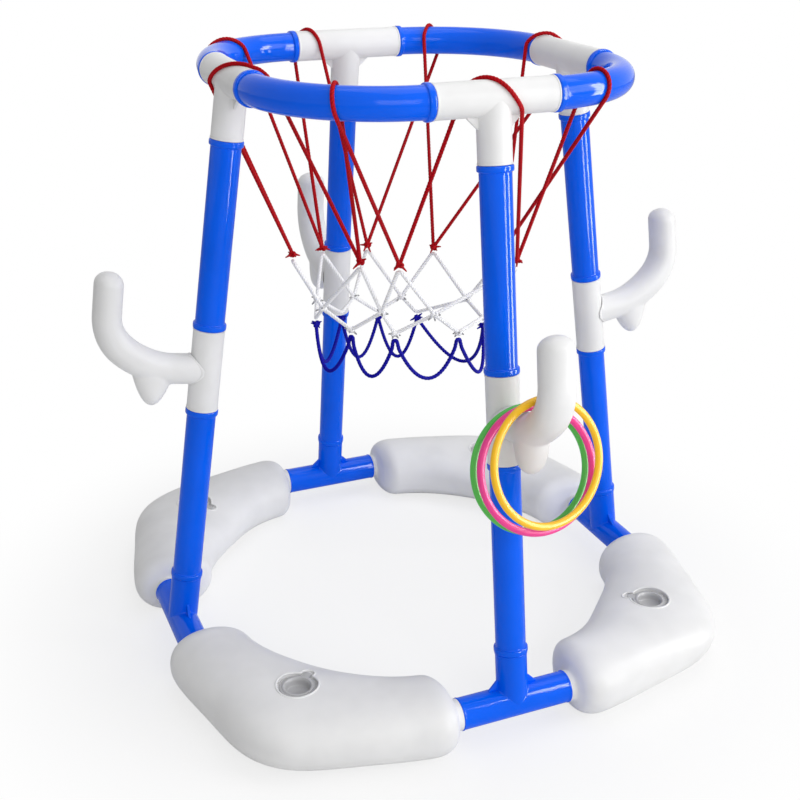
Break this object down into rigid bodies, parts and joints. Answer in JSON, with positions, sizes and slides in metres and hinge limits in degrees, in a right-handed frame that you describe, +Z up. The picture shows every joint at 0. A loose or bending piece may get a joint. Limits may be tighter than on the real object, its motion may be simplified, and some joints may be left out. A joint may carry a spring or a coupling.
{
  "type": "floating basketball hoop",
  "caption": "Floating basketball hoop: tube frame on corner floats, cord net under a rounded square hoop, and leg hooks that hold throwing rings.",
  "frame": {"origin": "on the ground, at the centre of the bounding box, under the hoop's centre", "axes": "+Z up; the legs stand towards -Y (front, with the rings), +X (right), +Y (back) and -X (left)"},
  "size_m": [0.7106, 0.7106, 0.6732],
  "materials": {
    "blue_plastic": "royal blue, glossy blow-moulded tube and tee",
    "white_plastic": "white, softly glossy blow-moulded plastic",
    "plug_plastic": "pale grey soft plug",
    "red_cord": "dark red cord",
    "white_cord": "white cord",
    "blue_cord": "navy blue twisted cord",
    "green_plastic": "green, glossy ring",
    "pink_plastic": "pink, glossy ring",
    "yellow_plastic": "yellow, glossy ring"
  },
  "bodies": {
    "frame": {"base_tee_front": "blue_plastic", "base_tee_right": "blue_plastic", "base_tee_back": "blue_plastic", "base_tee_left": "blue_plastic", "float_front_left": "white_plastic", "float_front_right": "white_plastic", "float_back_right": "white_plastic", "float_back_left": "white_plastic", "lower_leg_front": "blue_plastic", "lower_leg_right": "blue_plastic", "lower_leg_back": "blue_plastic", "lower_leg_left": "blue_plastic", "upper_leg_front": "blue_plastic", "upper_leg_right": "blue_plastic", "upper_leg_back": "blue_plastic", "upper_leg_left": "blue_plastic", "hoop_tee_front": "white_plastic", "hoop_tee_right": "white_plastic", "hoop_tee_back": "white_plastic", "hoop_tee_left": "white_plastic", "hoop_tube_front_left": "blue_plastic", "hoop_tube_front_right": "blue_plastic", "hoop_tube_back_right": "blue_plastic", "hoop_tube_back_left": "blue_plastic", "net_red_loops": "red_cord", "net_white_diamonds": "white_cord", "net_blue_tails": "blue_cord"},
    "swivel_front": {"hook_tee_front": "white_plastic", "hook_front": "white_plastic"},
    "swivel_right": {"hook_tee_right": "white_plastic", "hook_right": "white_plastic"},
    "swivel_back": {"hook_tee_back": "white_plastic", "hook_back": "white_plastic"},
    "swivel_left": {"hook_tee_left": "white_plastic", "hook_left": "white_plastic"},
    "plug_front_left": {"float_plug_front_left": "plug_plastic"},
    "plug_front_right": {"float_plug_front_right": "plug_plastic"},
    "plug_back_right": {"float_plug_back_right": "plug_plastic"},
    "plug_back_left": {"float_plug_back_left": "plug_plastic"},
    "ring_green": {"throwing_ring_green": "green_plastic"},
    "ring_pink": {"throwing_ring_pink": "pink_plastic"},
    "ring_yellow": {"throwing_ring_yellow": "yellow_plastic"}
  },
  "joints": [
    {"name": "hook_swivel_front", "type": "hinge", "parent": "frame", "child": "swivel_front", "pos_m": [0, -0.2398, 0.34437], "axis": [0, 0.1477, 0.989], "range_deg": [-90, 90]},
    {"name": "hook_swivel_right", "type": "hinge", "parent": "frame", "child": "swivel_right", "pos_m": [0.2398, 0, 0.34437], "axis": [-0.1477, 0, 0.989], "range_deg": [-90, 90]},
    {"name": "hook_swivel_back", "type": "hinge", "parent": "frame", "child": "swivel_back", "pos_m": [0, 0.2398, 0.34437], "axis": [0, -0.1477, 0.989], "range_deg": [-90, 90]},
    {"name": "hook_swivel_left", "type": "hinge", "parent": "frame", "child": "swivel_left", "pos_m": [-0.2398, 0, 0.34437], "axis": [0.1477, 0, 0.989], "range_deg": [-90, 90]},
    {"name": "plug_pull_front_left", "type": "slide", "parent": "frame", "child": "plug_front_left", "axis": [0, 0, 1], "range_m": [0, 0.025]},
    {"name": "plug_pull_front_right", "type": "slide", "parent": "frame", "child": "plug_front_right", "axis": [0, 0, 1], "range_m": [0, 0.025]},
    {"name": "plug_pull_back_right", "type": "slide", "parent": "frame", "child": "plug_back_right", "axis": [0, 0, 1], "range_m": [0, 0.025]},
    {"name": "plug_pull_back_left", "type": "slide", "parent": "frame", "child": "plug_back_left", "axis": [0, 0, 1], "range_m": [0, 0.025]},
    {"name": "ring_swing_green", "type": "hinge", "parent": "swivel_front", "child": "ring_green", "pos_m": [0, -0.28712, 0.35108], "axis": [0, -0.9397, 0.342], "range_deg": [-20, 20]},
    {"name": "ring_swing_pink", "type": "hinge", "parent": "swivel_front", "child": "ring_pink", "pos_m": [0.00002, -0.29959, 0.35593], "axis": [0.0244, -0.9333, 0.3584], "range_deg": [-20, 20]},
    {"name": "ring_swing_yellow", "type": "hinge", "parent": "swivel_front", "child": "ring_yellow", "pos_m": [-0.00087, -0.32074, 0.36896], "axis": [0.1331, -0.947, 0.2924], "range_deg": [-20, 20]}
  ]
}
